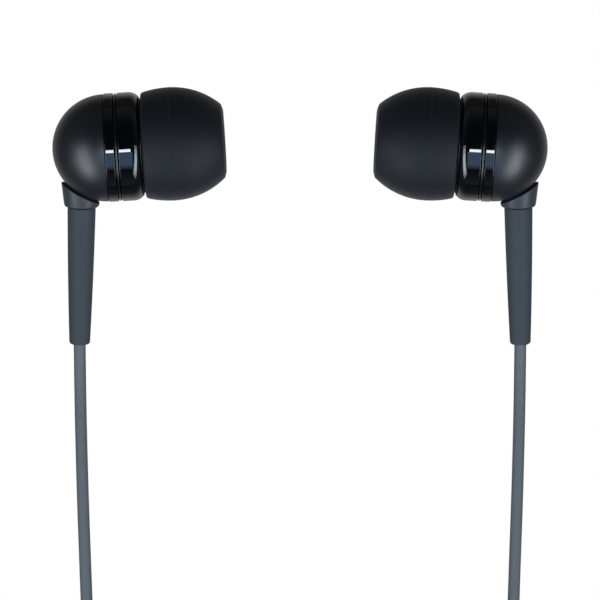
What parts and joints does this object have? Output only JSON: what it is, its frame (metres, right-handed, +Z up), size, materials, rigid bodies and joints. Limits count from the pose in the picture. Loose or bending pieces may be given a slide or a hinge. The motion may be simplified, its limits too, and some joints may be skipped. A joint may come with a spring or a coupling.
{
  "type": "wired in-ear earphones",
  "caption": "In-ear earphones with domed housings, soft tips and tapered strain reliefs on thin leads that join in a splitter and end in an angled plug, lying with the slack coiled.",
  "frame": {"origin": "on the surface that the set lies on, under the middle of the box round the two earpieces with their strain reliefs", "axes": "+X from the left earpiece to the right one, +Y from the leads towards the earpieces, +Z up from the surface"},
  "size_m": [0.0544, 0.1258, 0.0125],
  "materials": {
    "housing": "satin",
    "trim": "polished, black",
    "divider": "satin",
    "silicone": "soft satin",
    "collar": "gloss",
    "relief": "satin",
    "lead": "satin",
    "screen": "woven",
    "steel": "plated",
    "magnet": "plated",
    "copper": "enamelled",
    "film": "clear film",
    "driver_plastic": "satin",
    "paper": "matt",
    "board": "satin",
    "tie": "satin",
    "jack": "gold plated",
    "insulator": "gloss"
  },
  "bodies": {
    "headset": {"cable_splitter": "relief", "coil_ties": "tie", "jack_insulators": "insulator", "jack_ring": "jack", "jack_sleeve": "jack", "jack_tip": "jack", "left_cable": "lead", "left_cable_coil": "lead", "left_cable_collar": "collar", "left_cable_end": "lead", "left_cable_tail": "lead", "left_damping_disc": "paper", "left_driver_cover": "steel", "left_driver_frame": "driver_plastic", "left_front_housing": "housing", "left_front_trim_ring": "trim", "left_lead_wires": "copper", "left_magnet": "magnet", "left_nozzle_screen": "screen", "left_pole_plate": "steel", "left_rear_housing": "housing", "left_rear_trim_ring": "trim", "left_strain_relief": "relief", "left_terminal_board": "board", "left_trim_divider": "divider", "left_yoke": "steel", "main_cable": "lead", "main_cable_coil": "lead", "main_cable_end": "lead", "plug_cable_core": "lead", "plug_grip": "relief", "plug_strain_relief": "relief", "right_cable": "lead", "right_cable_coil": "lead", "right_cable_collar": "collar", "right_cable_end": "lead", "right_cable_tail": "lead", "right_damping_disc": "paper", "right_driver_cover": "steel", "right_driver_frame": "driver_plastic", "right_front_housing": "housing", "right_front_trim_ring": "trim", "right_lead_wires": "copper", "right_magnet": "magnet", "right_nozzle_screen": "screen", "right_pole_plate": "steel", "right_rear_housing": "housing", "right_rear_trim_ring": "trim", "right_strain_relief": "relief", "right_terminal_board": "board", "right_trim_divider": "divider", "right_yoke": "steel"},
    "left_tip": {"left_ear_tip": "silicone"},
    "left_moving_coil": {"left_voice_coil": "copper", "left_diaphragm": "film"},
    "right_tip": {"right_ear_tip": "silicone"},
    "right_moving_coil": {"right_voice_coil": "copper", "right_diaphragm": "film"}
  },
  "joints": [
    {"name": "left_tip_pull", "type": "slide", "parent": "headset", "child": "left_tip", "axis": [0.9982, 0.0593, 0], "range_m": [0, 0.006], "deforming": ["left_ear_tip"]},
    {"name": "left_coil_stroke", "type": "slide", "parent": "headset", "child": "left_moving_coil", "axis": [0.9982, 0.0593, 0], "range_m": [-0.00015, 0.00015], "stiffness_N_per_m": 50, "deforming": ["left_diaphragm"]},
    {"name": "right_tip_pull", "type": "slide", "parent": "headset", "child": "right_tip", "axis": [-0.9982, 0.0593, 0], "range_m": [0, 0.006], "deforming": ["right_ear_tip"]},
    {"name": "right_coil_stroke", "type": "slide", "parent": "headset", "child": "right_moving_coil", "axis": [-0.9982, 0.0593, 0], "range_m": [-0.00015, 0.00015], "stiffness_N_per_m": 50, "deforming": ["right_diaphragm"]}
  ]
}
